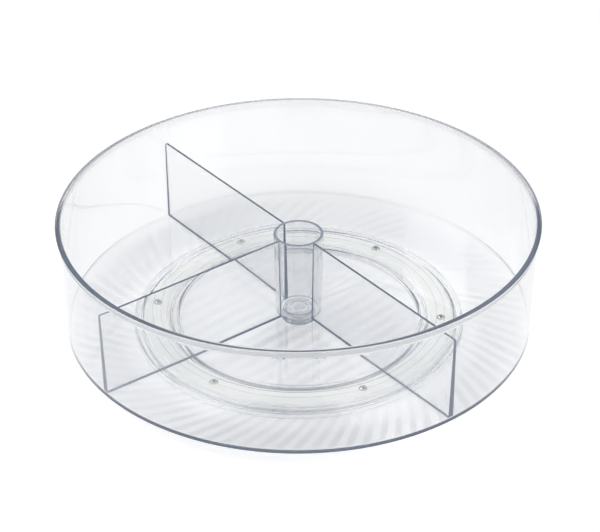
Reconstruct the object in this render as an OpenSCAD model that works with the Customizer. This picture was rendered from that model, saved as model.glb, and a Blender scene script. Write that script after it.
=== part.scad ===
// Divided lazy susan turntable: a clear round bin that spins on a ring of steel balls.
// Units are millimetres. +Z is up, the tabletop is z = 0 and the spin axis is the Z axis.

/* [Bin] */
// Diameter over the rim of the bin
bin_d = 292; // [250:1:340]
// Height of the bin from its underside to the top of its rim
bin_h = 72; // [55:0.5:100]
// Thickness of the bin's wall
wall_t = 1.8; // [1.4:0.1:2.4]
// Thickness of the bin's floor
floor_t = 2; // [1.6:0.1:3]
// How much the wall leans out from floor to rim
wall_draft = 1; // [0.4:0.1:3]
// Radius of the outside corner between wall and floor
corner_r = 1.2; // [0.8:0.1:4]
// Radius of the inside fillet between wall and floor
fillet_r = 1; // [0.8:0.1:2]

/* [Rim] */
// Height of the thicker band round the top of the wall
rim_h = 4.2; // [3:0.1:8]
// How far the rim stands out from the wall
rim_out = 1.6; // [1:0.1:3]
// How far the rim's outer face leans in from its top to its foot
rim_lean = 0.8; // [0.2:0.1:0.9]
// Height of the slope that leads from the wall into the rim
rim_ramp = 1.5; // [0.4:0.1:2.5]
// Radius on the rim's top edges
rim_edge_r = 0.5; // [0.3:0.1:1.2]

/* [Divider] */
// Depth of the divider's top below the rim
divider_drop = 15.3; // [5:0.1:30]
// Outer diameter of the centre tube at its top
tube_d = 30.4; // [28:0.2:40]
// Wall thickness of the centre tube
tube_t = 1.7; // [1.2:0.1:2.2]
// How much the tube's radius narrows from top to foot
tube_draft = 0.4; // [0:0.1:0.6]
// Thickness of a fin along its top edge
fin_top_t = 1.5; // [1:0.1:2]
// Thickness of a fin along its foot
fin_foot_t = 3.2; // [1.6:0.1:4]
// Radius of the fins' top outer corners
fin_corner_r = 1; // [0.5:0.1:6]
// Gap between the fins' ends and the bin's wall
fin_gap = 0.3; // [0.2:0.1:1]
// Gap that the divider's foot keeps above the bin's floor
seat_gap = 0.2; // [0.1:0.05:0.5]

/* [Bearing] */
// Diameter of a steel ball
ball_d = 6; // [5:0.1:8]
// Diameter of the circle through the balls' centres
ball_pitch_d = 176; // [150:1:190]
// Angle of the first ball from the +X axis
ball_angle = 47.6; // [0:0.1:60]
// Clearance between a ball and what it runs on
ball_gap = 0.1; // [0.05:0.01:0.15]
// Width of the cage ring
cage_w = 12.4; // [10:0.1:14]
// Thickness of the cage ring
cage_t = 2.4; // [2:0.1:3]
// Clearance between a ball and its pocket in the cage
pocket_gap = 0.1; // [0.06:0.01:0.15]
// Width of the ball tracks in the base and the bin
track_w = 5; // [4:0.1:7]
// Depth of the ball tracks
track_depth = 0.4; // [0.2:0.05:0.5]

/* [Base] */
// Thickness of the base plate
base_t = 2; // [1.8:0.1:3]
// Wall thickness of the hollow rails beside the ball channel
rail_t = 1.4; // [1.2:0.1:1.8]
// Width of each rail
rail_w = 5.7; // [5:0.1:8]
// Gap between the cage ring and each rail
channel_gap = 1.8; // [0.6:0.1:3]
// Gap between the rails' tops and the bin's underside
rail_gap = 2.2; // [1:0.1:2.5]
// Radius on the rails' top edges
rail_edge_r = 1.4; // [0.4:0.1:1.6]

/* [Hub] */
// Diameter of the base's centre post
post_d = 12; // [11:0.1:13]
// Radial running clearance between the post and the bin's hub
hub_fit = 0.08; // [0.03:0.01:0.1]
// Wall thickness of the hub collar under the bin
collar_t = 4.7; // [3:0.1:6]
// Gap between the collar's foot and the base plate
collar_gap = 0.4; // [0.3:0.1:1]
// How far the hub cap overhangs the post
cap_lip = 3.8; // [2:0.1:4]
// Thickness of the hub cap's head
cap_t = 1.8; // [1.4:0.1:3]
// Gap between the cap's head and the bin's floor
cap_gap = 0.3; // [0.2:0.05:0.6]
// Diameter of the dished middle of the cap
cap_dish_d = 10; // [6:0.1:13]
// Depth of the dish in the cap
cap_dish_depth = 0.5; // [0.3:0.1:0.8]
// Diameter of the cap's stem
stem_d = 7; // [5:0.1:8]
// Length of the cap's stem
stem_l = 5.5; // [4:0.1:6]
// Radial clearance between the stem and the post's bore
stem_fit = 0.05; // [0.03:0.01:0.1]

/* [Feet] */
// Diameter of a non-slip pad
foot_d = 9; // [6:0.1:10]
// Thickness of a non-slip pad
foot_t = 1.6; // [1.2:0.1:2]
// How far a pad stands out of the base
foot_proud = 0.8; // [0.6:0.1:1.2]
// Side clearance between a pad and its recess
foot_gap = 0.1; // [0.05:0.05:0.3]
// Radius on a pad's lower edge
foot_edge_r = 0.3; // [0.1:0.1:0.5]

/* [Hidden] */
$fn = 180;
eps = 0.01;

ball_count = 6;
ball_step = 360 / ball_count;
foot_count = 4;
foot_step = 360 / foot_count;
foot_angle = foot_step / 2;
fin_angles = [0, 180, 270];
stem_end_gap = 0.3;

// Heights, from the tabletop up
base_z = foot_proud;
base_top = base_z + base_t;
ball_r = ball_d / 2;
ball_z = base_top - track_depth + ball_gap + ball_r;
bin_z = ball_z + ball_r + ball_gap - track_depth;
floor_top = bin_z + floor_t;
rim_top = bin_z + bin_h;
rim_foot = rim_top - rim_h;
wall_top = rim_foot - rim_ramp;
cage_z = ball_z - cage_t / 2;
rail_top = bin_z - rail_gap;
collar_foot = base_top + collar_gap;
post_top = floor_top + cap_gap;
cap_top = post_top + cap_t;
divider_foot = floor_top + seat_gap;
divider_top = rim_top - divider_drop;

// Radii, from the spin axis out
pitch_r = ball_pitch_d / 2;
cage_in_r = pitch_r - cage_w / 2;
cage_out_r = pitch_r + cage_w / 2;
inner_rail_r = cage_in_r - channel_gap - rail_w;
outer_rail_r = cage_out_r + channel_gap;
post_r = post_d / 2;
hub_bore_r = post_r + hub_fit;
collar_r = hub_bore_r + collar_t;
cap_r = post_r + cap_lip;
stem_r = stem_d / 2;
stem_bore_r = stem_r + stem_fit;
stem_bore_foot = post_top - stem_l - stem_end_gap;
foot_r = foot_d / 2;
rim_r = bin_d / 2;
wall_top_r = rim_r - rim_out;
wall_foot_r = wall_top_r - wall_draft;
wall_inner_r = wall_foot_r - wall_t;
rim_in_r = wall_top_r - wall_t;
tube_top_r = tube_d / 2;
tube_foot_r = tube_top_r - tube_draft;

// Radius of the bin wall's outside at height z
function wall_r(z) =
    wall_foot_r + wall_draft * (z - bin_z - corner_r) / (wall_top - bin_z - corner_r);

// Radius of a fin's free end at height z
function fin_r(z) = wall_r(z) - wall_t - fin_gap;

// Rectangle in the radius-height plane, from radius r0 to r1 and height z0 to z1
module band(r0, r1, z0, z1) {
    translate([r0, z0]) square([r1 - r0, z1 - z0]);
}

// The same rectangle with its two upper corners rounded
module band_round_top(r0, r1, z0, z1, edge_r) {
    band(r0, r1, z0, z1 - edge_r);
    band(r0 + edge_r, r1 - edge_r, z0, z1);
    translate([r0 + edge_r, z1 - edge_r]) circle(edge_r);
    translate([r1 - edge_r, z1 - edge_r]) circle(edge_r);
}

// The same rectangle with all four corners rounded
module band_round(r0, r1, z0, z1, edge_r) {
    band_round_top(r0, r1, z0 + edge_r, z1, edge_r);
    band(r0 + edge_r, r1 - edge_r, z0, z1);
    translate([r0 + edge_r, z0 + edge_r]) circle(edge_r);
    translate([r1 - edge_r, z0 + edge_r]) circle(edge_r);
}

// Slice from the axis to radius r1, as high as its rounded lower outer corner
module foot_corner_profile(r1, z0, edge_r) {
    band(0, r1 - edge_r, z0, z0 + edge_r);
    translate([r1 - edge_r, z0 + edge_r]) intersection() {
        circle(edge_r);
        translate([0, -edge_r]) square(edge_r);
    }
}

// Outside of the bin up to the rim's foot, filled to the axis
module bin_outer_profile() {
    foot_corner_profile(wall_foot_r, bin_z, corner_r);
    polygon([[0, bin_z + corner_r], [wall_foot_r, bin_z + corner_r], [wall_top_r, wall_top],
             [rim_r - rim_lean, rim_foot], [0, rim_foot]]);
}

// Hollow of the bin, with a fillet round the floor
module bin_hollow_profile() {
    fillet_z = floor_top + fillet_r;
    foot_corner_profile(wall_inner_r, floor_top, fillet_r);
    polygon([[0, fillet_z], [wall_inner_r, fillet_z], [rim_in_r, rim_foot],
             [rim_in_r, rim_foot + eps], [0, rim_foot + eps]]);
}

// Thick band round the bin's mouth: upright inside, leaning outside, round on top. The
// leaning face touches the outer arc where a line from the band's foot is tangent to it.
module rim_profile() {
    edge_z = rim_top - rim_edge_r;
    foot_to_arc = [rim_edge_r - rim_lean, rim_h - rim_edge_r];
    tilt = asin(rim_edge_r / norm(foot_to_arc)) - atan2(foot_to_arc[0], foot_to_arc[1]);
    polygon([[rim_in_r, rim_foot], [rim_r - rim_lean, rim_foot],
             [rim_r - rim_edge_r + rim_edge_r * cos(tilt), edge_z - rim_edge_r * sin(tilt)],
             [rim_r - rim_edge_r, edge_z], [rim_in_r, edge_z]]);
    band(rim_in_r + rim_edge_r, rim_r - rim_edge_r, edge_z, rim_top);
    translate([rim_in_r + rim_edge_r, edge_z]) circle(rim_edge_r);
    translate([rim_r - rim_edge_r, edge_z]) circle(rim_edge_r);
}

module bin() {
    color([0.86, 0.89, 0.93, 0.35])
    rotate_extrude() difference() {
        union() {
            difference() {
                bin_outer_profile();
                bin_hollow_profile();
            }
            rim_profile();
            band(0, collar_r, collar_foot, bin_z + eps);
        }
        band(0, hub_bore_r, collar_foot - eps, floor_top + eps);
        band(pitch_r - track_w / 2, pitch_r + track_w / 2, bin_z - eps, bin_z + track_depth);
    }
}

// Space that the divider may fill: it follows the bin's wall and rounds the fins' corners
module divider_envelope() {
    foot_z = divider_foot + fillet_r;
    corner_z = divider_top - fin_corner_r;
    corner_x = fin_r(corner_z) - fin_corner_r;
    rotate_extrude() {
        foot_corner_profile(fin_r(foot_z), divider_foot, fillet_r);
        polygon([[0, foot_z], [fin_r(foot_z), foot_z], [fin_r(corner_z), corner_z], [0, corner_z]]);
        band(0, corner_x, corner_z, divider_top);
        translate([corner_x, corner_z]) intersection() {
            circle(fin_corner_r);
            square(fin_corner_r);
        }
    }
}

// One fin along +X, thick at its foot and thin at its top, longer than it ends up
module fin_blank() {
    rotate([90, 0, 90]) linear_extrude(rim_r)
        polygon([[-fin_foot_t / 2, divider_foot], [fin_foot_t / 2, divider_foot],
                 [fin_top_t / 2, divider_top], [-fin_top_t / 2, divider_top]]);
}

// Tapered round bar on the spin axis, between the divider's foot and top
module taper_bar(foot_radius, top_radius, extra) {
    translate([0, 0, divider_foot - extra])
        cylinder(h = divider_top - divider_foot + 2 * extra, r1 = foot_radius, r2 = top_radius);
}

module divider() {
    color([0.84, 0.87, 0.92, 0.4])
    difference() {
        union() {
            intersection() {
                divider_envelope();
                for (angle = fin_angles) rotate(angle) fin_blank();
            }
            taper_bar(tube_foot_r, tube_top_r, 0);
        }
        taper_bar(tube_foot_r - tube_t, tube_top_r - tube_t, eps);
    }
}

module ball_cage() {
    cage_edge_r = cage_t / 5;
    color([0.95, 0.95, 0.92, 0.85])
    difference() {
        rotate_extrude() band_round(cage_in_r, cage_out_r, cage_z, cage_z + cage_t, cage_edge_r);
        for (i = [0 : ball_count - 1]) ball_place(i) sphere(ball_r + pocket_gap);
    }
}

// Moves its children to the centre of ball number i, counted from 0
module ball_place(i) {
    rotate(ball_angle + i * ball_step) translate([pitch_r, 0, ball_z]) children();
}

module ball(i) {
    color([0.75, 0.76, 0.77]) ball_place(i) sphere(ball_r);
}

// Hollow rail, open below, that keeps the cage in its channel
module rail_profile(r0) {
    difference() {
        band_round_top(r0, r0 + rail_w, base_z, rail_top, rail_edge_r);
        band(r0 + rail_t, r0 + rail_w - rail_t, base_z - eps, rail_top - rail_t);
    }
}

module base_profile() {
    difference() {
        union() {
            band(0, inner_rail_r + rail_t, base_z, base_top);
            band(inner_rail_r + rail_w - rail_t, outer_rail_r + rail_t, base_z, base_top);
            rail_profile(inner_rail_r);
            rail_profile(outer_rail_r);
            band(0, post_r, base_z, post_top);
        }
        band(0, stem_bore_r, stem_bore_foot, post_top + eps);
        band(pitch_r - track_w / 2, pitch_r + track_w / 2, base_top - track_depth, base_top + eps);
    }
}

// Moves its children to the centre of pad number i on the tabletop, counted from 0
module foot_place(i) {
    rotate(foot_angle + i * foot_step) translate([pitch_r, 0, 0]) children();
}

module base_plate() {
    color([0.86, 0.89, 0.93, 0.35])
    difference() {
        rotate_extrude() base_profile();
        for (i = [0 : foot_count - 1]) foot_place(i) cylinder(h = foot_t, r = foot_r + foot_gap);
    }
}

module hub_cap() {
    cap_edge_r = cap_t / 3;
    color([0.86, 0.89, 0.93, 0.45])
    rotate_extrude() difference() {
        union() {
            band(0, cap_r - cap_edge_r, post_top, cap_top);
            band(0, cap_r, post_top, cap_top - cap_edge_r);
            translate([cap_r - cap_edge_r, cap_top - cap_edge_r]) circle(cap_edge_r);
            band(0, stem_r, post_top - stem_l, post_top + eps);
        }
        band(0, cap_dish_d / 2, cap_top - cap_dish_depth, cap_top + eps);
    }
}

module foot(i) {
    color([0.88, 0.88, 0.86, 0.6])
    foot_place(i) rotate_extrude() {
        band(0, foot_r, foot_edge_r, foot_t);
        band(0, foot_r - foot_edge_r, 0, foot_t);
        translate([foot_r - foot_edge_r, foot_edge_r]) circle(foot_edge_r);
    }
}

bin();
divider();
ball_cage();
ball(0);  // ball_1
ball(1);  // ball_2
ball(2);  // ball_3
ball(3);  // ball_4
ball(4);  // ball_5
ball(5);  // ball_6
base_plate();
hub_cap();
foot(0);  // foot_1
foot(1);  // foot_2
foot(2);  // foot_3
foot(3);  // foot_4
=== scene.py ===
# %% [markdown]
# # A round clear turntable, dressed for the camera
# A clear plastic bin turns on a low clear base, carried by six steel balls in a
# milky ring, and a clear divider drops into it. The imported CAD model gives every
# size and place. This lesson swaps its coarse meshes for smooth turned surfaces,
# because clear plastic shows every facet as a kink in what is behind it.

import math

import bpy
import numpy as np
from mathutils import Matrix, Vector


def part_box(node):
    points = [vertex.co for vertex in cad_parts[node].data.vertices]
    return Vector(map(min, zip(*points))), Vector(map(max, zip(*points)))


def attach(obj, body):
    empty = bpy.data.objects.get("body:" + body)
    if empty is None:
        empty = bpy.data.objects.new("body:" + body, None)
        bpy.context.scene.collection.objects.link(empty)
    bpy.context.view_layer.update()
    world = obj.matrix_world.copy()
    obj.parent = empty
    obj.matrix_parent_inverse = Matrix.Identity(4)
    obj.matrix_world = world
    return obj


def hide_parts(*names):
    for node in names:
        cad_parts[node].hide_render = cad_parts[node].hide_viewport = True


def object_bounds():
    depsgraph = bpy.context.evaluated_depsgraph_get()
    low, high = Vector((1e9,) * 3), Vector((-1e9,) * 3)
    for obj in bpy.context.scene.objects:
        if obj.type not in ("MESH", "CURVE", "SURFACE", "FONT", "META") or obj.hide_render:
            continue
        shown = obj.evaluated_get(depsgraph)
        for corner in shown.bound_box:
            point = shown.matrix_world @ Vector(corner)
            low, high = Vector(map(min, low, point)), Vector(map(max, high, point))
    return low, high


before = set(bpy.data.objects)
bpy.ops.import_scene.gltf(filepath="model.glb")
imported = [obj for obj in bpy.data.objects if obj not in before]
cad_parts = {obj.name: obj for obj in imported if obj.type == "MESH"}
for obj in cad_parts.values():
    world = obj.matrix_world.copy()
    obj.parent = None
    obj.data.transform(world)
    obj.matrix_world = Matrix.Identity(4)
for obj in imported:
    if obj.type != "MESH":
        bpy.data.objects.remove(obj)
cad_low, cad_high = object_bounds()
MM = 0.001
print("CAD box in mm:", [round(v / MM, 1) for v in (*cad_low, *cad_high)])

# %% [markdown]
# ## Places from the model
# Heights and outer radii are read from the CAD boxes. They could be typed in,
# but then a change of the model would pull the looks and the joints apart.

# %% Read the places of the pieces
def box_mm(node):
    """Lowest and highest corner of a CAD node, in millimetres."""
    low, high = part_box(node)
    return np.array(low) / MM, np.array(high) / MM


def radius_mm(node):
    """Outer radius of a round CAD node on the spin axis: its nearest box side."""
    low, high = box_mm(node)
    return float(min(high[0], high[1], -low[0], -low[1]))


bin_low, bin_high = box_mm("bin")
divider_low, divider_high = box_mm("divider")
cage_low, cage_high = box_mm("ball_cage")
base_low, base_high = box_mm("base_plate")
cap_low, cap_high = box_mm("hub_cap")
rim_r, rim_top = radius_mm("bin"), float(bin_high[2])
collar_foot = float(bin_low[2])
base_z, post_top = float(base_low[2]), float(base_high[2])
divider_foot, divider_top = float(divider_low[2]), float(divider_high[2])
print("rim radius", round(rim_r, 2), "rim top", round(rim_top, 2))
print("divider from", round(divider_foot, 2), "to", round(divider_top, 2))

# %% [markdown]
# ## Sizes that a box can't tell
# A wall's thickness or the lean of a side doesn't show in a box, so these are
# named in millimetres. Only what several steps share stands here. The other
# levels of the bin are counted down from its rim or up from the divider's foot,
# which stands on its floor.

# %% Name the shared sizes
SEAT_GAP = 0.2  # air under the divider's foot
FLOOR_T, WALL_T = 2.0, 1.8  # thickness of the bin's floor and wall
WALL_DRAFT = 1.0  # how far the wall leans out from foot to top
CORNER_R = 1.2  # outside, where the wall meets the floor
RIM_H, RIM_OUT = 4.2, 1.6  # the rim's height, and how far it stands out
RIM_RAMP = 1.5  # height of the slope under the rim
TUBE_FOOT_R, TUBE_TOP_R = 14.8, 15.2  # the divider's tube, outside
FIN_GAP = 0.3  # air between a fin's end and the wall

floor_top = divider_foot - SEAT_GAP
bin_z = floor_top - FLOOR_T
rim_foot = rim_top - RIM_H
wall_top = rim_foot - RIM_RAMP
wall_top_r = rim_r - RIM_OUT
wall_foot_r = wall_top_r - WALL_DRAFT
print("bin floor from", round(bin_z, 2), "to", round(floor_top, 2))

# %% [markdown]
# ## A profile with soft corners
# In clear plastic an edge's small radius draws the bright and the dark line. A
# Bevel modifier could round the finished mesh, but it gives every edge one
# radius and trips over short sides. Here the profile itself is rounded: a list
# of corners in the radius-height plane, each with its own edge radius. Short
# straight pieces beside each arc keep its shading off the flat face next to it.

# %% Round the corners of a profile
ARC_STEPS = 7  # straight pieces in each arc
SUPPORT = 0.18  # mm from an arc to its support point
STRAIGHT = 0.02  # rad, a turn too small to round
CUT_SHARE = 0.49  # of a side's length that one corner's arc may take
SUPPORT_SHARE = 0.4  # of what the arcs leave of a side


def rounded(corners):
    """Closed profile through (r, z, edge radius) corners.

    At each corner the arc leaves the two sides at the same distance from the
    corner, radius times tan(half the turn), and points are set on the circle
    that touches both sides. A support point lies a little beyond each end.
    """
    points = []
    count = len(corners)
    for k, (r, z, edge) in enumerate(corners):
        here = np.array([r, z], float)
        back = np.array(corners[k - 1][:2], float) - here
        ahead = np.array(corners[(k + 1) % count][:2], float) - here
        reach = min(np.linalg.norm(back), np.linalg.norm(ahead))
        back /= np.linalg.norm(back)
        ahead /= np.linalg.norm(ahead)
        turn = math.pi - math.acos(float(np.clip(back @ ahead, -1, 1)))
        if edge <= 0 or turn < STRAIGHT:
            points.append(here[None, :])
            continue
        cut = min(edge * math.tan(turn / 2), CUT_SHARE * reach)
        edge = cut / math.tan(turn / 2)
        middle = back + ahead
        middle /= np.linalg.norm(middle)
        centre = here + middle * math.hypot(edge, cut)
        start, end = here + back * cut, here + ahead * cut
        a0 = math.atan2(*(start - centre)[::-1])
        swing = math.atan2(*(end - centre)[::-1]) - a0
        swing = (swing + math.pi) % (2 * math.pi) - math.pi
        angle = a0 + swing * np.linspace(0, 1, ARC_STEPS + 1)
        arc = centre + edge * np.stack([np.cos(angle), np.sin(angle)], 1)
        beside = min(SUPPORT, SUPPORT_SHARE * (reach - 2 * cut))
        points += [(start + back * beside)[None, :], arc, (end + ahead * beside)[None, :]]
    return np.concatenate(points)


square = rounded([(1, 0, 0.2), (2, 0, 0.2), (2, 1, 0.2), (1, 1, 0.2)])
print("a square with round corners has", len(square), "points")

# %% [markdown]
# ## Turning a profile
# The bin, the base, the ring, the cap and the pads are turned shapes. A Screw
# modifier could turn them too. Working the grid out with numpy keeps every
# vertex in hand: poles close in one vertex, and the sign of the volume tells
# whether the faces look outward.

# %% Turn a profile into a surface
TURN_STEPS = 432  # fine, since each facet of a clear rim shows as a glint


def revolve(profile, steps=TURN_STEPS, closed=True):
    """Vertices and faces of a profile turned once round the spin axis.

    Point i of the profile at angle t goes to (r cos t, r sin t, z). A closed
    profile is a ring in section; an open one starts and ends on the axis, where
    one vertex closes each pole.
    """
    t = np.arange(steps) * 2 * np.pi / steps
    ring = profile if closed else profile[1:-1]
    r, z = ring[:, 0], ring[:, 1]
    verts = np.stack(
        [np.outer(r, np.cos(t)), np.outer(r, np.sin(t)), np.outer(z, np.ones(steps))], 2
    ).reshape(-1, 3)
    rows, cols = len(ring), np.arange(steps)
    i = np.arange(rows if closed else rows - 1)[:, None]
    j, k = (i + 1) % rows, (cols + 1) % steps
    quads = np.stack([i * steps + cols, i * steps + k, j * steps + k, j * steps + cols], 2)
    faces = quads.reshape(-1, 4).tolist()
    if not closed:
        first, last = len(verts), len(verts) + 1
        verts = np.vstack([verts, [[0, 0, profile[0, 1]], [0, 0, profile[-1, 1]]]])
        end = (rows - 1) * steps
        faces += np.stack([np.full(steps, first), k, cols], 1).tolist()
        faces += np.stack([np.full(steps, last), end + cols, end + k], 1).tolist()
    return verts, faces


def outward(verts, faces):
    """The faces, all turned round if the closed surface's volume is negative.

    The volume is the sum over triangles of a . (b x c) / 6.
    """
    fan = [(f[0], f[n], f[n + 1]) for f in faces for n in range(1, len(f) - 1)]
    a, b, c = (verts[np.array(fan)[:, n]] for n in range(3))
    if np.einsum("ij,ij->i", a, np.cross(b, c)).sum() < 0:
        return [f[::-1] for f in faces]
    return faces


print("a turned square has", len(revolve(square)[1]), "faces")

# %% [markdown]
# ## From arrays to a piece
# A piece rides on the CAD body it belongs to, stands for the CAD node it
# dresses, which it hides, and gets one material. Its place is in its vertices,
# and its shading is smooth except over sharp edges.

# %% Make a piece
SHARP = math.radians(35)


def mesh_of(name, verts_mm, faces):
    """A Blender mesh from vertices in millimetres, smooth but for sharp edges."""
    mesh = bpy.data.meshes.new(name)
    mesh.from_pydata((verts_mm * MM).tolist(), [], outward(verts_mm, faces))
    mesh.validate()
    mesh.polygons.foreach_set("use_smooth", [True] * len(mesh.polygons))
    mesh.set_sharp_from_angle(angle=SHARP)
    mesh.update()
    return mesh


def piece(name, verts_mm, faces, node, body, material):
    """A piece in place of a CAD node, riding on that node's body."""
    obj = bpy.data.objects.new(name, mesh_of(name, verts_mm, faces))
    bpy.context.scene.collection.objects.link(obj)
    obj.data.materials.append(material)
    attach(obj, body)
    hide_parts(node)
    print(name, "has", len(obj.data.polygons), "faces")
    return obj


# %% [markdown]
# ## Helpers for materials
# Colours are written as sRGB hex, as a colour picker shows them, and one
# function turns them to the linear values that Blender mixes. One small
# function adds a node and fills its sockets.

# %% Colour and node helpers
def srgb(code, alpha=1.0):
    """Linear RGBA from an sRGB hex code."""
    parts = [int(code[k : k + 2], 16) / 255 for k in (1, 3, 5)]
    return tuple(
        c / 12.92 if c <= 0.04045 else ((c + 0.055) / 1.055) ** 2.4 for c in parts
    ) + (alpha,)


def add(tree, kind, inputs=None, **settings):
    """Add a node, of the kind that Blender calls ShaderNode plus this name.

    The inputs map a socket's name or number to a value, to another node's
    socket, or to another node, which then gives its first output.
    """
    node = tree.nodes.new("ShaderNode" + kind)
    for key, value in settings.items():
        setattr(node, key, value)
    for key, value in (inputs or {}).items():
        if isinstance(value, bpy.types.Node):
            value = value.outputs[0]
        if isinstance(value, bpy.types.NodeSocket):
            tree.links.new(value, node.inputs[key])
        else:
            node.inputs[key].default_value = value
    return node


def new_material(name):
    """An empty node material and its tree."""
    material = bpy.data.materials.new(name)
    material.use_nodes = True
    material.node_tree.nodes.clear()
    return material, material.node_tree


print("pure white turns to", [round(v, 3) for v in srgb("#ffffff")])

# %% [markdown]
# ## Finding a face by its place
# A finish often changes on one face of a moulding only. A second material slot
# could be painted on it, but on a turned shape a face is told just as well by
# its distance from the axis and its height. Both come from Object coordinates,
# which ride with the piece. The rim's outer face is one such place: wear and the
# mould's parting line have roughened it, so it blurs what is behind it.

# %% Mask the rim's outer face
def from_axis(tree, place):
    """Two sockets: a point's distance from the spin axis, and its height."""
    flat = add(tree, "VectorMath", {0: place, 1: (1, 1, 0)}, operation="MULTIPLY")
    far = add(tree, "VectorMath", {0: flat}, operation="LENGTH")
    level = add(tree, "SeparateXYZ", {0: place})
    return far.outputs["Value"], level.outputs["Z"]


def within(tree, spans):
    """A node that is 1 where each value is past its second limit, in mm.

    Each (value, start, end) makes a ramp from 0 to 1, and the ramps are
    multiplied. A start above its end makes a falling ramp.
    """
    result = None
    for value, start, end in spans:
        ramp = add(tree, "MapRange", {"Value": value, 1: start * MM, 2: end * MM})
        if result is not None:
            ramp = add(tree, "Math", {0: result, 1: ramp}, operation="MULTIPLY")
        result = ramp
    return result


def rim_band(tree, place):
    """A node that is 1 on the rim's outer face and 0 elsewhere.

    The face lies farther from the axis than any other and between two heights.
    """
    far, level = from_axis(tree, place)
    return within(
        tree,
        [
            (far, wall_top_r, wall_top_r + 0.4),
            (level, rim_foot - 0.4, rim_foot + 0.3),
            (level, rim_top - 0.7, rim_top - 1.4),
        ],
    )


print("rim's outer face from", round(rim_foot, 2), "to", round(rim_top - 0.7, 2), "mm")

# %% [markdown]
# ## Dark narrow faces
# Light that enters a clear sheet's broad side is guided to its narrow faces, so
# a fin's end and foot look like dark slate lines. Path tracing finds such light,
# but with much noise and only from some angles, so a mask gives these faces a
# share of dark glow that is the same from all sides. The tube has a weaker share
# at its foot, a trace in its wall, and a paler one on its short top.

# %% Mask the fins' and the tube's narrow faces
TUBE_FOOT_SHARE = 0.35


def narrow_faces(tree, place):
    """A node that is 1 on the fins' feet and ends and 0 elsewhere.

    The foot lies below a height. The ends lie beyond a radius that grows with
    the height at the wall's slope.
    """
    far, level = from_axis(tree, place)
    slope = WALL_DRAFT / (wall_top - bin_z - CORNER_R)
    end_r = wall_foot_r - slope * (bin_z + CORNER_R) - WALL_T - FIN_GAP
    upright = add(tree, "Math", {0: level, 1: -slope, 2: far}, operation="MULTIPLY_ADD")
    at_end = within(tree, [(upright, end_r - 0.5, end_r - 0.2)])
    at_foot = within(tree, [(level, divider_foot + 0.5, divider_foot + 0.2)])
    on_fin = within(tree, [(far, TUBE_FOOT_R, TUBE_FOOT_R + 0.5)])
    on_fin.inputs["To Min"].default_value = TUBE_FOOT_SHARE
    foot = add(tree, "Math", {0: at_foot, 1: on_fin}, operation="MULTIPLY")
    return add(tree, "Math", {0: at_end, 1: foot}, operation="MAXIMUM")


def tube_faces(tree, place):
    """Two nodes: 1 on the tube's outer wall and 1 on its top face, else 0."""
    far, level = from_axis(tree, place)
    inside = (far, TUBE_TOP_R + 0.5, TUBE_TOP_R + 0.1)
    wall = within(tree, [inside, (far, TUBE_FOOT_R - 0.6, TUBE_FOOT_R - 0.3)])
    top = within(tree, [inside, (level, divider_top - 0.35, divider_top - 0.1)])
    return wall, top


print("narrow faces below", round(divider_foot + 0.5, 2), "mm and at the fins' ends")

# %% [markdown]
# ## Clear moulded styrene
# The bin, the divider, the base and the cap are clear styrene. Through its thin
# side it is almost colourless, but along the sheet the light goes through
# centimetres of it, so an edge turns a dark blue-grey. A tint on the surface
# can't do that. It takes real refraction and a volume that absorbs a little more
# red than blue. A dull glow in the volume stands for light scattered inside, so
# that the longest paths end in slate grey and not in black.
#
# Lamp rays pass straight through, because refracted shadows would need far more
# samples. Faint waves and a fine haze of scuffs keep the surface from looking
# like perfect optical glass.

# %% Build the clear material
CLEAR_IOR = 1.58
ABSORB_TINT = "#959aa2"
BULK_GLOW = "#5b6371"
EDGE_GLOW = "#5e687b"
TUBE_WALL_SHARE = 0.05
TUBE_TOP_SHARE, TUBE_TOP_GLOW = 0.5, "#a4adbb"
WAVE_MM = 28  # length of the mould's polishing waves
SCUFF_MM = 1  # width of a scuff, drawn wide to show; it is a dozen times as long
MIN_ROUGH = 0.012


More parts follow.
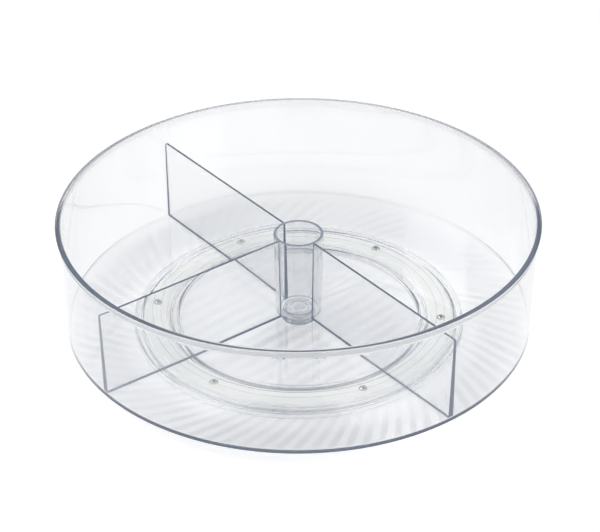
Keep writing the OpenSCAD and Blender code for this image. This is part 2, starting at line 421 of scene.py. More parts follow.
def clear_styrene(name, per_metre, haze, wave=0.1, band=0.0, edge=0.0):
    """Clear moulded plastic that absorbs per_metre of red light.

    The haze is its scuffs' roughness, the wave its surface's unevenness, the
    band the extra roughness of the rim's outer face, and the edge the share of
    dark guided light on the fins' feet and ends.
    """
    material, tree = new_material(name)
    place = add(tree, "TexCoord").outputs["Object"]
    waves = add(tree, "TexNoise", {"Vector": place, "Scale": 1000 / WAVE_MM, "Detail": 1.0})
    stretched = add(tree, "Mapping",
        {"Vector": place, "Rotation": (0.3, 0.2, 0.9), "Scale": (1.0, 0.08, 0.3)})
    scuffs = add(tree, "TexNoise",
        {"Vector": stretched, "Scale": 1000 / SCUFF_MM, "Detail": 3.0, "Roughness": 0.6})
    rough = add(tree, "MapRange", {"Value": scuffs, 1: 0.45, 2: 0.8, 3: MIN_ROUGH, 4: haze})
    if band:
        rough = add(tree, "Math",
            {0: rim_band(tree, place), 1: band, 2: rough}, operation="MULTIPLY_ADD")
    bump = add(tree, "Bump", {"Height": waves, "Strength": wave, "Distance": 0.2 * MM})
    settings = {"Base Color": srgb("#ffffff"), "IOR": CLEAR_IOR, "Transmission Weight": 1.0}
    settings |= {"Roughness": rough, "Normal": bump}
    plastic = add(tree, "BsdfPrincipled", settings)
    if edge:
        masks = (narrow_faces(tree, place), *tube_faces(tree, place))
        shares = (edge, TUBE_WALL_SHARE, TUBE_TOP_SHARE)
        glows = (EDGE_GLOW, EDGE_GLOW, TUBE_TOP_GLOW)
        for mask, part, glow in zip(masks, shares, glows):
            share = add(tree, "Math", {0: mask, 1: part}, operation="MULTIPLY")
            guided = add(tree, "Emission", {"Color": srgb(glow)})
            plastic = add(tree, "MixShader", {0: share, 1: plastic, 2: guided})
    through = add(tree, "BsdfTransparent", {"Color": srgb("#f6f6f6")})
    rays = add(tree, "LightPath")
    either = add(tree, "MixShader",
        {0: rays.outputs["Is Shadow Ray"], 1: plastic, 2: through})
    tint = srgb(ABSORB_TINT)
    depth = add(tree, "VolumeAbsorption",
        {"Color": tint, "Density": per_metre / (1 - tint[0])})
    bulk = add(tree, "Emission", {"Color": srgb(BULK_GLOW), "Strength": per_metre})
    inside = add(tree, "AddShader", {0: depth, 1: bulk})
    add(tree, "OutputMaterial", {"Surface": either, "Volume": inside})
    return material


print("clear plastic bends light by", CLEAR_IOR)

# %% [markdown]
# ## One plastic in four pieces
# The same styrene looks deeper in the bin's long wall than in the base, where
# light has to cross several sheets, so each piece has its own absorption. Only
# the bin has a worn rim, only the divider has its narrow faces open to view, and
# the base, which nobody touches, is the smoothest.

# %% Make the clear plastics
BIN_DEPTH, DIVIDER_DEPTH, BASE_DEPTH = 40.0, 26.0, 12.0  # of red light, per metre
HAZE, BAND_HAZE = 0.03, 0.5
EDGE_SHARE = 0.95
clear_bin = clear_styrene("clear_styrene_bin", BIN_DEPTH, HAZE, band=BAND_HAZE)
clear_divider = clear_styrene("clear_styrene_divider", DIVIDER_DEPTH, HAZE, edge=EDGE_SHARE)
clear_base = clear_styrene("clear_styrene_base", BASE_DEPTH, HAZE, wave=0.02)
clear_cap = clear_styrene("clear_styrene_cap", BIN_DEPTH, HAZE)
print("clear plastics:", clear_bin.name, clear_divider.name, clear_base.name)

# %% [markdown]
# ## A skin that varies
# No moulded or ground skin is quite even. The next three materials let noise,
# sized in millimetres, shift colour and roughness between two ends and raise a
# faint relief. Fixed values would be quicker, but would look drawn.

# %% Build a varied skin
def varied_skin(tree, sizes_mm, detail, tints, rough, strength, depth_mm):
    """Inputs for a shader: colour, roughness and relief.

    Colour and roughness vary between two ends in patches of the first size.
    The relief has bumps of the second size.
    """
    place = add(tree, "TexCoord").outputs["Object"]
    patch, bumps = (
        add(tree, "TexNoise", {"Vector": place, "Scale": 1000 / mm, "Detail": detail})
        for mm in sizes_mm
    )
    one, other = (srgb(code) for code in tints)
    tint = add(tree, "Mix", {0: patch, 6: one, 7: other}, data_type="RGBA")
    gloss = add(tree, "MapRange", {"Value": patch, 3: rough[0], 4: rough[1]})
    relief = add(tree, "Bump",
        {"Height": bumps, "Strength": strength, "Distance": depth_mm * MM})
    return {"Base Color": tint.outputs[2], "Roughness": gloss, "Normal": relief}


print("noise of 1 mm has the scale", round(1 / MM))

# %% [markdown]
# ## Milky polypropylene
# The ring that spaces the balls is unfilled polypropylene with a satin skin. It
# lets light in a few millimetres and scatters it into a soft, slightly warm
# white. Subsurface scattering alone would be too solid for so thin a ring, so
# half of the light goes through, and a little glow stands for the light that has
# come up from the table.

# %% Build the milky material
PASSED_LIGHT = 0.21
MILKY_IOR = 1.49
CLOUD_MM = 16.7  # flow clouds from moulding
GRAIN_MM = 0.4  # the satin skin's grain, drawn coarser than it is, to show


def milky_polypropylene(name):
    """Satin white plastic that scatters light under its skin."""
    material, tree = new_material(name)
    skin = varied_skin(
        tree, (CLOUD_MM, GRAIN_MM), 2.0, ("#eef0f0", "#f7f8f8"), (0.36, 0.5), 0.3, 0.05
    )
    settings = {
        "IOR": MILKY_IOR,
        "Transmission Weight": 0.55,
        "Subsurface Weight": 0.5,
        "Subsurface Radius": (1.0, 0.95, 0.85),
        "Subsurface Scale": 0.002,
    }
    plastic = add(tree, "BsdfPrincipled", skin | settings)
    glow = {"Color": srgb("#fffef8"), "Strength": PASSED_LIGHT}
    passed = add(tree, "Emission", glow)
    both = add(tree, "AddShader", {0: plastic, 1: passed})
    add(tree, "OutputMaterial", {"Surface": both})
    return material


milky = milky_polypropylene("milky_polypropylene_ring")
print("ring material:", milky.name)

# %% [markdown]
# ## Polished bearing steel
# The balls are ground and lapped, so they mirror the room as a bright rim round
# a dark middle. A perfect mirror would look drawn, so the faint orange peel that
# lapping leaves makes it a little uneven. A metal keeps the shader's own IOR.

# %% Build the steel
LAP_MM = 1.1  # orange peel, drawn about ten times as coarse as it is, to show


def bearing_steel(name):
    """Lapped steel with a faint uneven polish."""
    material, tree = new_material(name)
    tints = ("#cacac8", "#dcdcda")
    skin = varied_skin(tree, (LAP_MM, LAP_MM), 3.0, tints, (0.02, 0.06), 0.1, 0.02)
    metal = add(tree, "BsdfPrincipled", skin | {"Metallic": 1.0})
    add(tree, "OutputMaterial", {"Surface": metal})
    return material


steel = bearing_steel("polished_bearing_steel")
print("ball material:", steel.name)

# %% [markdown]
# ## Tacky elastomer
# The pads are clear cast polyurethane gel, which looks like a frosted lens
# with a faint grey cast where it has picked up dust. Plain refraction with a
# high, patchy roughness gives that frost without a volume.

# %% Build the pad material
PAD_IOR = 1.5
DUST_MM = 1.4  # patches of dust on the tacky skin


def tacky_elastomer(name):
    """Frosted, slightly grey, see-through rubber."""
    material, tree = new_material(name)
    tints = ("#e8eaea", "#f4f5f5")
    skin = varied_skin(tree, (DUST_MM, DUST_MM), 4.0, tints, (0.3, 0.6), 0.2, 0.1)
    settings = {"IOR": PAD_IOR, "Transmission Weight": 0.9}
    rubber = add(tree, "BsdfPrincipled", skin | settings)
    add(tree, "OutputMaterial", {"Surface": rubber})
    return material


pad_rubber = tacky_elastomer("tacky_polyurethane_pad")
print("pad material:", pad_rubber.name)

# %% [markdown]
# ## The bin
# One profile makes the whole bin: hub collar, floor with its ball track, rounded
# corner, leaning wall and thicker rim. Built from a floor and a wall it would
# have seams inside the plastic, and in a clear piece each seam shows.
#
# The rim's outer face leans out on its way up. The corner that gets rounded lies
# so far outside the true radius that its arc just touches that radius.

# %% Turn the bin
FILLET_R = 1.0  # inside, where the wall meets the floor, and at the divider's foot
RIM_LEAN, RIM_EDGE_R = 0.8, 0.7
HUB_BORE_R, COLLAR_T = 6.08, 4.7
BALL_PITCH_R = 88.0
TRACK_W, TRACK_DEPTH = 5.0, 0.4
TRACK_EDGE_R, BORE_EDGE_R, EDGE_R, SOFT_EDGE_R = 0.1, 0.15, 0.25, 0.3

track_in, track_out = BALL_PITCH_R - TRACK_W / 2, BALL_PITCH_R + TRACK_W / 2
rim_in_r = wall_top_r - WALL_T
side, rise = RIM_EDGE_R - RIM_LEAN, RIM_H - RIM_EDGE_R
tilt = math.asin(RIM_EDGE_R / math.hypot(side, rise)) - math.atan2(side, rise)
rim_corner_r = rim_r - RIM_LEAN + RIM_H * math.tan(tilt)


def track(level, bottom):
    """The four corners of the balls' groove in a face, from the axis outward."""
    stops = ((track_in, level), (track_in, bottom), (track_out, bottom), (track_out, level))
    return [(r, z, TRACK_EDGE_R) for r, z in stops]


bin_corners = [
    (HUB_BORE_R, collar_foot, BORE_EDGE_R),
    (HUB_BORE_R + COLLAR_T, collar_foot, EDGE_R),
    (HUB_BORE_R + COLLAR_T, bin_z, EDGE_R),
    *track(bin_z, bin_z + TRACK_DEPTH),
    (wall_foot_r, bin_z, CORNER_R),
    (wall_top_r, wall_top, SOFT_EDGE_R),
    (rim_r - RIM_LEAN, rim_foot, SOFT_EDGE_R),
    (rim_corner_r, rim_top, RIM_EDGE_R),
    (rim_in_r, rim_top, RIM_EDGE_R),
    (rim_in_r, rim_foot, SOFT_EDGE_R),
    (wall_foot_r - WALL_T, floor_top, FILLET_R),
    (HUB_BORE_R, floor_top, BORE_EDGE_R),
]
piece("bin_clear", *revolve(rounded(bin_corners)), "bin", "turntable", clear_bin)

# %% [markdown]
# ## The base
# A flat disc with two rails that keep the ring in its channel, and a centre
# post. The rails are hollow underneath, as a moulder cores out thick places. The
# profile starts and ends on the axis, under the plate and in the post's bore.
#
# Two clear faces must not lie in the same place: a ray can't tell which it met
# first, and the spot turns black. So the post stops a hair under the cap.

# %% Turn the base
BASE_STEPS = 288
BASE_T = 2.0
RAIL_T, RAIL_W, RAIL_EDGE_R = 1.4, 5.7, 1.4  # wall, width and top edge of a rail
CHANNEL_GAP = 1.8  # between the ring and each rail
RAIL_GAP = 2.2  # between a rail's top and the bin's floor
CHANNEL_EDGE_R = 0.2
POST_R, STEM_R = 6.0, 3.5
STEM_FIT, STEM_END_GAP = 0.05, 0.3  # air round the cap's stem and under it
SEAT_AIR = 0.04  # air between two clear faces that touch on the real object

base_top = base_z + BASE_T
cage_out_r = radius_mm("ball_cage")
cage_in_r = 2 * BALL_PITCH_R - cage_out_r
base_r = radius_mm("base_plate")
rail_top = bin_z - RAIL_GAP
inner_rail = cage_in_r - CHANNEL_GAP - RAIL_W
outer_rail = cage_out_r + CHANNEL_GAP
bore_r = STEM_R + STEM_FIT
bore_foot = float(cap_low[2]) - STEM_END_GAP


def hollow(r0, r1):
    """The four corners of the hollow under a rail that runs from r0 to r1."""
    return [
        (r0 + RAIL_T, base_z, BORE_EDGE_R),
        (r0 + RAIL_T, rail_top - RAIL_T, SOFT_EDGE_R),
        (r1 - RAIL_T, rail_top - RAIL_T, SOFT_EDGE_R),
        (r1 - RAIL_T, base_z, BORE_EDGE_R),
    ]


base_corners = [
    (0, base_z, 0),
    *hollow(inner_rail, inner_rail + RAIL_W),
    *hollow(outer_rail, base_r),
    (base_r, base_z, EDGE_R),
    (base_r, rail_top, RAIL_EDGE_R),
    (outer_rail, rail_top, RAIL_EDGE_R),
    (outer_rail, base_top, CHANNEL_EDGE_R),
    *track(base_top, base_top - TRACK_DEPTH)[::-1],
    (inner_rail + RAIL_W, base_top, CHANNEL_EDGE_R),
    (inner_rail + RAIL_W, rail_top, RAIL_EDGE_R),
    (inner_rail, rail_top, RAIL_EDGE_R),
    (inner_rail, base_top, SOFT_EDGE_R),
    (POST_R, base_top, SOFT_EDGE_R),
    (POST_R, post_top - SEAT_AIR, BORE_EDGE_R),
    (bore_r, post_top - SEAT_AIR, TRACK_EDGE_R),
    (bore_r, bore_foot, TRACK_EDGE_R),
    (0, bore_foot, 0),
]
base_shape = revolve(rounded(base_corners), BASE_STEPS, closed=False)
base_piece = piece("base_clear", *base_shape, "base_plate", "base", clear_base)

# %% [markdown]
# ## The hub cap
# A low button with a dished middle, whose stem presses into the post and keeps
# the bin from lifting off. It needs fewer steps round, since it is small.

# %% Turn the hub cap
CAP_STEPS = 96
CAP_DISH_R, CAP_DISH_DEPTH = 5.0, 0.5
CAP_EDGE_R, STEM_EDGE_R = 0.6, 0.4
cap_top, cap_r = float(cap_high[2]), radius_mm("hub_cap")
cap_corners = [
    (0, cap_low[2], 0),
    (STEM_R, cap_low[2], STEM_EDGE_R),
    (STEM_R, post_top, TRACK_EDGE_R),
    (cap_r, post_top, BORE_EDGE_R),
    (cap_r, cap_top, CAP_EDGE_R),
    (CAP_DISH_R, cap_top, SOFT_EDGE_R),
    (CAP_DISH_R, cap_top - CAP_DISH_DEPTH, SOFT_EDGE_R),
    (0, cap_top - CAP_DISH_DEPTH, 0),
]
cap_shape = revolve(rounded(cap_corners), CAP_STEPS, closed=False)
piece("hub_cap_clear", *cap_shape, "hub_cap", "base", clear_cap)

# %% [markdown]
# ## The divider's outline
# Three tapered fins and a tapered tube in one moulding. A tube and three boxes
# joined by a Boolean would leave loose triangles, which show as kinks in clear
# plastic. But at every height the outline is the same path: round the tube, out
# along one side of a fin, round its end and back. So the whole divider is one
# grid, a function of height and place along that path.

# %% Work out the divider
FIN_ANGLES = (0.0, 180.0, 270.0)  # degrees round the spin axis
FIN_TOP_T, FIN_FOOT_T = 1.5, 3.2
FIN_CORNER_R = 1.0  # the fin's upper outer corner
TUBE_T = 1.7
FIN_STEPS, TUBE_STEPS = 12, 96
END_LEVELS, MIDDLE_LEVELS = 9, 20


def wall_r(z):
    """Outer radius of the bin's wall at height z: straight from foot to top."""
    share = (z - bin_z - CORNER_R) / (wall_top - bin_z - CORNER_R)
    return wall_foot_r + WALL_DRAFT * share


def fin_end(z):
    """Radius of a fin's end: it follows the wall, with both end corners rounded.

    Near the foot and the top it draws back on a quarter circle: R minus the
    root of (R squared minus d squared), d being the way past the arc's start.
    """
    end = wall_r(z) - WALL_T - FIN_GAP
    low, high = divider_foot + FILLET_R, divider_top - FIN_CORNER_R
    dip = np.clip(low - z, 0, FILLET_R)
    rise = np.clip(z - high, 0, FIN_CORNER_R)
    end = end - FILLET_R + np.sqrt(FILLET_R**2 - dip**2)
    return end - FIN_CORNER_R + np.sqrt(FIN_CORNER_R**2 - rise**2)


def on_circle(angle, radius):
    """Points at these angles on a circle for each height."""
    return np.stack([np.cos(angle), np.sin(angle)], 2) * radius[:, :, None]


def divider_surface():
    """Heights, outline points, bore points, and 0 for the tube or the fin's number.

    Between two fins the path runs on the tube's circle. It leaves the circle at
    asin(half thickness over radius) from the fin's middle. The bore is a second
    ring with the same angles.
    """
    ends = np.linspace(0, 1, END_LEVELS) ** 2
    low, high = divider_foot + FILLET_R, divider_top - FIN_CORNER_R
    foot, top = divider_foot + FILLET_R * ends, divider_top - FIN_CORNER_R * ends[::-1]
    middle = np.linspace(low, high, MIDDLE_LEVELS)[1:-1]
    z = np.concatenate([foot, middle, top])[:, None]
    share = (z - divider_foot) / (divider_top - divider_foot)
    half = (FIN_FOOT_T + (FIN_TOP_T - FIN_FOOT_T) * share) / 2
    tube = TUBE_FOOT_R + (TUBE_TOP_R - TUBE_FOOT_R) * share
    spread = np.arcsin(half / tube)
    along = np.linspace(0, 1, FIN_STEPS + 1)[None, :]
    angles = np.radians(sorted(FIN_ANGLES))
    outer, inner, kinds = [], [], []
    for n, turn in enumerate(angles):
        run = tube * np.cos(spread) + (fin_end(z) - tube * np.cos(spread)) * along
        c, s = math.cos(turn), math.sin(turn)
        for side, x in ((-1, run), (1, run[:, ::-1])):
            outer.append(np.stack([x * c - side * half * s, x * s + side * half * c], 2))
            at = turn + side * spread + 0 * x
            inner.append(on_circle(at, tube - TUBE_T))
            kinds += [n + 1] * x.shape[1]
        gap = (angles[(n + 1) % 3] - turn) % (2 * np.pi)
        steps = max(int(TUBE_STEPS * gap / (2 * np.pi)), 4)
        part = np.linspace(0, 1, steps + 1)[1:-1][None, :]
        at = turn + spread + (gap - 2 * spread) * part
        outer.append(on_circle(at, tube))
        inner.append(on_circle(at, tube - TUBE_T))
        kinds += [0] * part.shape[1]
    return z, np.concatenate(outer, 1), np.concatenate(inner, 1), np.array(kinds)


z_levels, outline, bore, kinds = divider_surface()
print("divider outline:", outline.shape[1], "points at", outline.shape[0], "heights")

# %% [markdown]
# ## The divider's faces
# The outline's points are joined into quads from height to height, and the
# bore's likewise, facing the other way. The bore needs one point for each point
# of the tube and one for each side of a fin. At the foot and the top a flat end
# joins the two, round the tube's wall and along each fin.

# %% Join the divider's faces
rows, cols = outline.shape[:2]
keep = kinds == 0
for n in (1, 2, 3):
    span = np.flatnonzero(kinds == n)
    keep[[span[0], span[-1]]] = True
ids = np.flatnonzero(keep)
height = np.broadcast_to(z_levels[:, :, None], (rows, cols, 1))
outer_v = np.concatenate([outline, height], 2).reshape(-1, 3)
bore_v = np.concatenate([bore[:, ids], height[:, ids]], 2).reshape(-1, 3)


def side_faces(count, first, inward):
    """Quads between neighbouring heights of a ring of count points."""
    i, j = np.arange(rows - 1)[:, None], np.arange(count)
    k = (j + 1) % count
    quads = [i * count + j, i * count + k, (i + 1) * count + k, (i + 1) * count + j]
    return (np.stack(quads[::-1] if inward else quads, 2).reshape(-1, 4) + first).tolist()


def end_faces(row, downward):
    """Quads of the flat end at one height: the tube's wall, then each fin."""
    o, b = row * cols, len(outer_v) + row * len(ids)
    here = np.arange(len(ids))
    ahead = (here + 1) % len(ids)
    quads = [np.stack([o + ids, o + ids[ahead], b + ahead, b + here], 1)]
    for n in (1, 2, 3):
        left, right = np.split(o + np.flatnonzero(kinds == n), 2)
        right = right[::-1]
        quads.append(np.stack([left[:-1], left[1:], right[1:], right[:-1]], 1))
    quads = np.concatenate(quads)
    return (quads[:, ::-1] if downward else quads).tolist()


faces = side_faces(cols, 0, False) + side_faces(len(ids), len(outer_v), True)
faces += end_faces(0, True) + end_faces(rows - 1, False)
divider_v = np.vstack([outer_v, bore_v])
piece("divider_clear", divider_v, faces, "divider", "divider", clear_divider)

# %% [markdown]
# ## The balls
# Each ball rides on a body of its own, so that it can roll. An icosphere would
# spread its faces more evenly, but a turned half circle uses the same function
# as everything else.

# %% Make the balls
def sphere(centre, radius, around=48, down=24):
    """A ball: latitude runs from pole to pole and longitude once round."""
    lat = np.linspace(-np.pi / 2, np.pi / 2, down + 1)
    profile = np.stack([radius * np.cos(lat), radius * np.sin(lat)], 1)
    verts, faces = revolve(profile, around, closed=False)
    return verts + centre, faces


balls = []
for n in range(1, 7):
    low, high = box_mm(f"ball_{n}")
    middle, ball_r = (low + high) / 2, float((high[2] - low[2]) / 2)
    balls.append(middle)
    piece(f"ball_{n}_steel", *sphere(middle, ball_r), f"ball_{n}", f"ball_{n}", steel)
pitch_r = float(np.hypot(*middle[:2]))
print("ball radius", round(ball_r, 2), "mm, on a circle of radius", round(pitch_r, 2))

# %% [markdown]
# ## The ring and its pockets
# The ring is turned like the bin. A Boolean modifier cuts its pockets with
# spheres a little larger than the balls. The result is kept as the mesh and the
# cutter is thrown away, so nothing is left to work out later.

# %% Turn the ring and cut its pockets
POCKET_GAP = 0.1
CAGE_EDGE_R = 0.48


def cut_away(obj, verts, faces):
    """Take a closed surface out of a piece, and keep the finished mesh."""
    tool = bpy.data.objects.new("cutter", mesh_of("cutter", verts, faces))
    bpy.context.scene.collection.objects.link(tool)
    step = obj.modifiers.new("cut", "BOOLEAN")
    step.operation, step.object, step.solver = "DIFFERENCE", tool, "EXACT"
    bpy.context.view_layer.update()
    graph = bpy.context.evaluated_depsgraph_get()
    made = bpy.data.meshes.new_from_object(obj.evaluated_get(graph))
    obj.modifiers.remove(step)
    obj.data = made
    obj.data.set_sharp_from_angle(angle=SHARP)
    bpy.data.objects.remove(tool)
    print(obj.name, "after its cuts:", len(made.polygons), "faces")


def joined(shapes):
    """Several surfaces as one list of vertices and faces."""
    verts, faces, start = [], [], 0
    for v, f in shapes:
        faces += [[n + start for n in face] for face in outward(v, f)]
        verts.append(v)
        start += len(v)
    return np.vstack(verts), faces


cage_corners = [
    (cage_in_r, cage_low[2], CAGE_EDGE_R),
    (cage_out_r, cage_low[2], CAGE_EDGE_R),
    (cage_out_r, cage_high[2], CAGE_EDGE_R),
    (cage_in_r, cage_high[2], CAGE_EDGE_R),
]
ring_piece = piece(
    "ball_ring_milky", *revolve(rounded(cage_corners)), "ball_cage", "cage", milky
)
cut_away(ring_piece, *joined([sphere(c, ball_r + POCKET_GAP) for c in balls]))

# %% [markdown]
# ## The pads
# Four small discs stand in recesses under the plate, which are cut from the base
# all at once, a little wider and deeper than the pads. Only the pads' lower edge
# is well rounded, since the upper one is hidden.

# %% Turn the pads
PAD_STEPS = 72
PAD_EDGE_R = 0.3
FOOT_GAP = 0.1
recesses = []
for n in range(1, 5):
    low, high = box_mm(f"foot_{n}")
    shift = [*(low + high)[:2] / 2, 0]
    pad_r = float(min(high[:2] - low[:2]) / 2)
    foot, top, hole_r = low[2], high[2] + SEAT_AIR, pad_r + FOOT_GAP
    pad_corners = [(0, foot, 0), (pad_r, foot, PAD_EDGE_R)]
    pad_corners += [(pad_r, high[2], TRACK_EDGE_R), (0, high[2], 0)]
    verts, faces = revolve(rounded(pad_corners), PAD_STEPS, closed=False)
    piece(f"pad_{n}_rubber", verts + shift, faces, f"foot_{n}", "base", pad_rubber)
    hole = np.array([(0, foot - 1), (hole_r, foot - 1), (hole_r, top), (0, top)])
    verts, faces = revolve(hole, PAD_STEPS, closed=False)
    recesses.append((verts + shift, faces))
cut_away(base_piece, *joined(recesses))

# %% [markdown]
# ## Light on the table under the plastic
# The table and the room are white where the eye sees them. But the pieces bend
# the light away from parts of the table under them and throw it elsewhere. Path
# tracing could find such caustics with a very long render. Here they are drawn
# on the table, in millimetres round the spin axis, and only rays that come
# through plastic or off a gloss see them.
#
# First the smooth parts: the ring under the bin's floor alone is lit less than
# the middle, the table beyond the wall a trace more, and soft round shadows lie
# in front of the tube and at the near and far side.

# %% Shade the table in smooth steps
VIEW_AZIMUTH = 52.5  # degrees, where the eye stands
azimuth = math.radians(VIEW_AZIMUTH)
toward_eye = Vector((math.sin(azimuth), -math.cos(azimuth), 0))
MIDDLE_LIGHT = 1.2
UNDER_FLOOR, FLOOR_SHADE = (104.0, 118.0), 0.25
BEYOND_WALL, BEYOND_LIGHT = (138.0, 150.0), 0.02
SOFT_SHADOWS = [  # how far toward the eye, radii where it starts and is full, depth
    (20.0, (34.0, 6.0), 0.3),
    (98.0, (66.0, 12.0), 0.27),
    (-112.0, (110.0, 30.0), 0.15),
]


def smooth_light(tree, place, far):
    """A node with the table's light before its bands: a sum of smooth steps."""
    changes = [(far, UNDER_FLOOR, -FLOOR_SHADE), (far, BEYOND_WALL, BEYOND_LIGHT)]
    for off, reach, shade in SOFT_SHADOWS:
        middle = toward_eye * off * MM
        away = add(tree, "VectorMath", {0: place, 1: middle}, operation="DISTANCE")
        changes.append((away.outputs["Value"], reach, -shade))
    light = MIDDLE_LIGHT
    for value, (start, end), change in changes:
        step = add(tree, "MapRange",
            {"Value": value, 1: start * MM, 2: end * MM, 3: 0.0, 4: change},
            interpolation_type="SMOOTHSTEP")
        light = add(tree, "Math", {0: light, 1: step})
    return light


print("soft shadows on the table:", len(SOFT_SHADOWS))

# %% [markdown]
# ## Bands of light
# The mould's marks and the facets of a window throw the light in soft bands.
# Under the raised floor they are slanted spokes: sin(N (angle + slant ln r)),
# spirals that cross every circle at one angle. Under the base they are
# straight. A wide noise lets them come and go, as real ones do.

# %% Draw the bands
BAND_SHADE = 0.34
BAND_SHARES = (0.2, 1.0)  # of that shade, where the noise is low and high
SPIRAL_BANDS, SPIRAL_SLANT = 80, 0.62
INNER_BAND_MM, INNER_BAND_TURN = 9.0, -0.1
BAND_SPLIT, BAND_END = (88.0, 100.0), (150.0, 140.0)
PATCH_MM = 45  # size of the noise's patches
NEAR_SIDE, FAR_SHARE = (-80.0, 20.0), 0.35  # bands are full on the near side only


def spokes(tree, place, far):
    """A node that goes from 0 to 1 across each slanted spoke."""
    split = add(tree, "SeparateXYZ", {0: place}).outputs
    angle = add(tree, "Math", {0: split["Y"], 1: split["X"]}, operation="ARCTAN2")
    log_far = add(tree, "Math", {0: far, 1: math.e}, operation="LOGARITHM")
    slanted = add(tree, "Math",
        {0: log_far, 1: SPIRAL_SLANT, 2: angle}, operation="MULTIPLY_ADD")
    phase = add(tree, "Math", {0: slanted, 1: SPIRAL_BANDS}, operation="MULTIPLY")
    wave = add(tree, "Math", {0: phase}, operation="SINE")
    return add(tree, "MapRange", {"Value": wave, 1: -0.5, 2: 0.5})


def straight_bands(tree, place):
    """A socket from 0 to 1 across each straight band.

    The wave texture repeats every 0.314 m over its scale.
    """
    turned = add(tree, "Mapping", {"Vector": place, "Rotation": (0, 0, INNER_BAND_TURN)})
    wave = add(tree, "TexWave",
        {"Vector": turned, "Scale": 314 / INNER_BAND_MM, "Distortion": 0.8},
        wave_profile="SIN")
    return wave.outputs["Fac"]


def band_shade(tree, place, far):
    """A node with the light that the bands take away."""
    outside = within(tree, [(far, *BAND_SPLIT)])
    kept = within(tree, [(far, *BAND_END)])
    bands = add(tree, "Mix",
        {0: outside, 2: straight_bands(tree, place), 3: spokes(tree, place, far)})
    patch = add(tree, "TexNoise",
        {"Vector": place, "Scale": 1000 / PATCH_MM, "Detail": 1.0})
    low, high = (BAND_SHADE * share for share in BAND_SHARES)
    depth = add(tree, "MapRange", {"Value": patch, 1: 0.3, 2: 0.6, 3: low, 4: high})
    near = add(tree, "VectorMath", {0: place, 1: toward_eye}, operation="DOT_PRODUCT")
    frontal = within(tree, [(near.outputs["Value"], *NEAR_SIDE)])
    frontal.inputs["To Min"].default_value = FAR_SHARE
    taken = bands
    for factor in (kept, depth, frontal):
        taken = add(tree, "Math", {0: taken, 1: factor}, operation="MULTIPLY")
    return taken


print(SPIRAL_BANDS, "slanted spokes and straight bands", INNER_BAND_MM, "mm apart")

# %% [markdown]
# ## The floor
# A matt white floor that reaches full white where no shadow falls: half painted
# surface, which keeps the soft shadow, and half glow. Light Path tells what kind
# of ray asks. The eye's own rays get the full glow. Rays that come through
# plastic or off a gloss get the drawn light.

# %% Lay the floor
FADE_OUT = (400.0, 1200.0)
GLOW_PART = 0.5
FLOOR_HALF = 6.0  # metres
FLOOR_DROP = 0.1  # mm under the pads


def light_under(tree):
    """A node with the light of the table under the plastic, 1 far away."""
    place = add(tree, "TexCoord").outputs["Object"]
    length = add(tree, "VectorMath", {0: place}, operation="LENGTH")
    far = length.outputs["Value"]
    light = add(tree, "Math",
        {0: smooth_light(tree, place, far), 1: band_shade(tree, place, far)},
        operation="SUBTRACT")
    away = within(tree, [(far, *FADE_OUT)])
    return add(tree, "Mix", {0: away, 2: light, 3: 1.0})


def ray_kinds(tree):
    """A socket that is 1 for the eye's own rays, and a node that is 1 for bent ones."""
    rays = add(tree, "LightPath").outputs
    either = {0: rays["Is Glossy Ray"], 1: rays["Is Transmission Ray"]}
    return rays["Is Camera Ray"], add(tree, "Math", either, operation="MAXIMUM")


def white_floor(name):
    """Matt white that reaches full white where no shadow falls."""
    material, tree = new_material(name)
    direct, bent = ray_kinds(tree)
    drawn = add(tree, "Math", {0: bent, 1: light_under(tree)}, operation="MULTIPLY")
    seen = add(tree, "Math", {0: direct, 1: drawn}, operation="MAXIMUM")
    level = add(tree, "Math", {0: seen, 1: GLOW_PART}, operation="MULTIPLY")
    paint = add(tree, "BsdfDiffuse", {"Color": srgb("#e5e5e5")})
    glow = add(tree, "Emission", {"Color": srgb("#ffffff"), "Strength": level})
    both = add(tree, "AddShader", {0: paint, 1: glow})
    add(tree, "OutputMaterial", {"Surface": both})
    return material


floor_z = float(cad_low.z) - FLOOR_DROP * MM
signs = ((-1, -1), (1, -1), (1, 1), (-1, 1))
corners = [(x * FLOOR_HALF, y * FLOOR_HALF, floor_z) for x, y in signs]
floor_mesh = bpy.data.meshes.new("floor")
floor_mesh.from_pydata(corners, [], [(0, 1, 2, 3)])
floor_mesh.materials.append(white_floor("matt_white_floor"))
floor = bpy.data.objects.new("floor", floor_mesh)
bpy.context.scene.collection.objects.link(floor)
print("floor at", round(floor_z / MM, 2), "mm")

# %% [markdown]
# ## The room
# Clear plastic and steel look like the room they stand in. The eye sees plain
# white, and so do rays that leave the plastic low down. Higher up they see a
# pale ceiling with soft, wide battens, which gives the walls a few streaks.
# Behind the eye it is paler, and straight overhead a dark patch stands for the
# unlit top of the room, which the balls mirror. All other rays get an even fill.

# %% Build the room
HORIZON = (0.06, 0.36)  # heights of a ray's direction where the ceiling sets in
CEILING_TURN, CEILING_SCALE = 30.0, 1.2
BATTEN_TINTS = ("#c4c8d0", "#f2f4f6")
NEAR_TINT, NEAR_HEIGHT, NEAR_REACH = "#f4f6f8", 0.3, (0.3, 0.6)
OVERHEAD, OVERHEAD_REACH = "#0e0e10", (0.76, 0.86)
ROOM_FILL = 0.45


def battens(sky, toward, height):
    """A socket with the ceiling's colour where a ray meets it.

    The place on the ceiling is the ray's direction divided by its height.
    """
    on_ceiling = add(sky, "VectorMath", {0: toward, 1: height}, operation="DIVIDE")
    turned = add(sky, "Mapping",
        {"Vector": on_ceiling, "Rotation": (0, 0, math.radians(CEILING_TURN))})
    wave = add(sky, "TexWave",
        {"Vector": turned, "Scale": CEILING_SCALE, "Distortion": 0.6, "Detail": 1.0},
        wave_profile="SIN")
    dark, pale = (srgb(code) for code in BATTEN_TINTS)
    share = wave.outputs["Fac"]
    return add(sky, "Mix", {0: share, 6: dark, 7: pale}, data_type="RGBA").outputs[2]


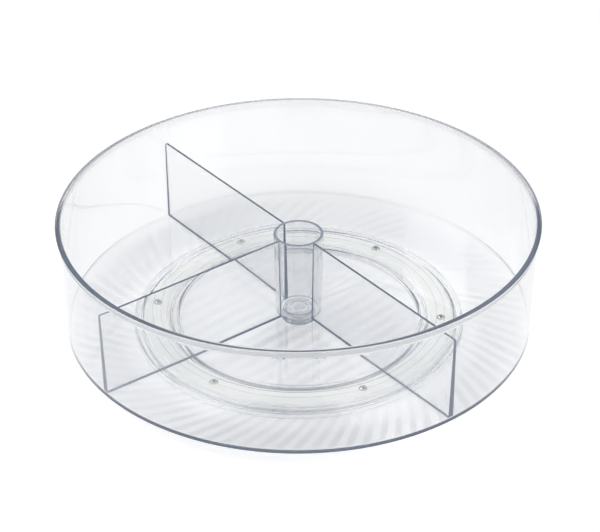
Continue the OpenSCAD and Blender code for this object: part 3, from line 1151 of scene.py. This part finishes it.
def blend(sky, value, reach, under, over):
    """A socket that turns from one colour to the other as the value passes reach."""
    step = add(sky, "MapRange",
        {"Value": value, 1: reach[0], 2: reach[1]}, interpolation_type="SMOOTHSTEP")
    return add(sky, "Mix", {0: step, 6: under, 7: over}, data_type="RGBA").outputs[2]


def room_colour(sky):
    """A socket with what bent rays see, by the direction they go."""
    toward = add(sky, "TexCoord").outputs["Generated"]
    height = add(sky, "SeparateXYZ", {0: toward}).outputs["Z"]
    near_way = toward_eye + Vector((0, 0, NEAR_HEIGHT))
    facing = add(sky, "VectorMath", {0: toward, 1: near_way}, operation="DOT_PRODUCT")
    ceiling = battens(sky, toward, height)
    ceiling = blend(sky, facing.outputs["Value"], NEAR_REACH, ceiling, srgb(NEAR_TINT))
    ceiling = blend(sky, height, OVERHEAD_REACH, ceiling, srgb(OVERHEAD))
    return blend(sky, height, HORIZON, srgb("#ffffff"), ceiling)


world = bpy.data.worlds.new("studio")
bpy.context.scene.world = world
world.use_nodes = True
sky = world.node_tree
sky.nodes.clear()
direct, bent = ray_kinds(sky)
seen = add(sky, "Mix", {0: bent, 6: srgb("#ffffff"), 7: room_colour(sky)}, data_type="RGBA")
either = add(sky, "Math", {0: bent, 1: direct}, operation="MAXIMUM")
backdrop = add(sky, "Background", {"Color": seen.outputs[2], "Strength": 1.0})
fill = add(sky, "Background", {"Color": srgb("#ffffff"), "Strength": ROOM_FILL})
both = add(sky, "MixShader", {0: either, 1: fill, 2: backdrop})
add(sky, "OutputWorld", {"Surface": both})
print("the room has", len(sky.nodes), "nodes")

# %% [markdown]
# ## Lamps
# Two large soft lamps, as a product table has: the stronger one high at the near
# side, the weaker one low at the far right. They are weak enough that white
# paint renders as white and not brighter.

# %% Hang the lamps
AIM = Vector((0, 0, 0.04))


def softbox(name, place, size, power):
    """A square lamp that faces the middle of the object."""
    data = bpy.data.lights.new(name, "AREA")
    data.shape, data.size, data.energy = "SQUARE", size, power
    lamp = bpy.data.objects.new(name, data)
    lamp.location = place
    lamp.rotation_euler = (AIM - lamp.location).to_track_quat("-Z", "Y").to_euler()
    bpy.context.scene.collection.objects.link(lamp)
    print(name, "lamp of", power, "W at", place)


softbox("key", (-0.5, -0.9, 1.3), 1.0, 9.0)
softbox("fill", (1.3, 0.6, 0.9), 1.2, 4.0)

# %% [markdown]
# ## Camera
# A long lens from above the front corner, so that the rim's ellipse is open. Its
# place and turn are built from three unit vectors: back to the eye, to the
# right, and up. A Track To constraint could aim it, but not roll it slightly.

# %% Place the camera
VIEW_ELEVATION, VIEW_ROLL = 32.92, -0.346
VIEW_DISTANCE, AIM_HEIGHT, AIM_SIDE = 1.174, 0.0411, 0.0008
LENS_MM, SENSOR_MM = 114.9, 36.0
elevation, roll = math.radians(VIEW_ELEVATION), math.radians(VIEW_ROLL)
back = toward_eye * math.cos(elevation) + Vector((0, 0, math.sin(elevation)))
right = Vector((math.cos(azimuth), math.sin(azimuth), 0))
up = back.cross(right)
across = right * math.cos(roll) + up * math.sin(roll)
upward = up * math.cos(roll) - right * math.sin(roll)
eye = Vector((0, 0, AIM_HEIGHT)) + right * AIM_SIDE + back * VIEW_DISTANCE
lens = bpy.data.cameras.new("camera")
lens.lens, lens.sensor_width = LENS_MM, SENSOR_MM
lens.clip_start, lens.clip_end = 0.05, 50
camera = bpy.data.objects.new("camera", lens)
turned = Matrix((across, upward, back)).transposed().to_4x4()
camera.matrix_world = Matrix.Translation(eye) @ turned
bpy.context.scene.collection.objects.link(camera)
bpy.context.scene.camera = camera
print("camera at", [round(v, 3) for v in eye])

# %% [markdown]
# ## Last settings
# Light in clear plastic bounces many times before it leaves, so the limits are
# raised. Colours are shown as they are, without a film look.

# %% Finish
BOUNCES = 40
scene = bpy.context.scene
scene.view_settings.view_transform = "Standard"
scene.cycles.max_bounces = BOUNCES
scene.cycles.transmission_bounces = BOUNCES
scene.cycles.transparent_max_bounces = BOUNCES
scene.cycles.glossy_bounces = 16
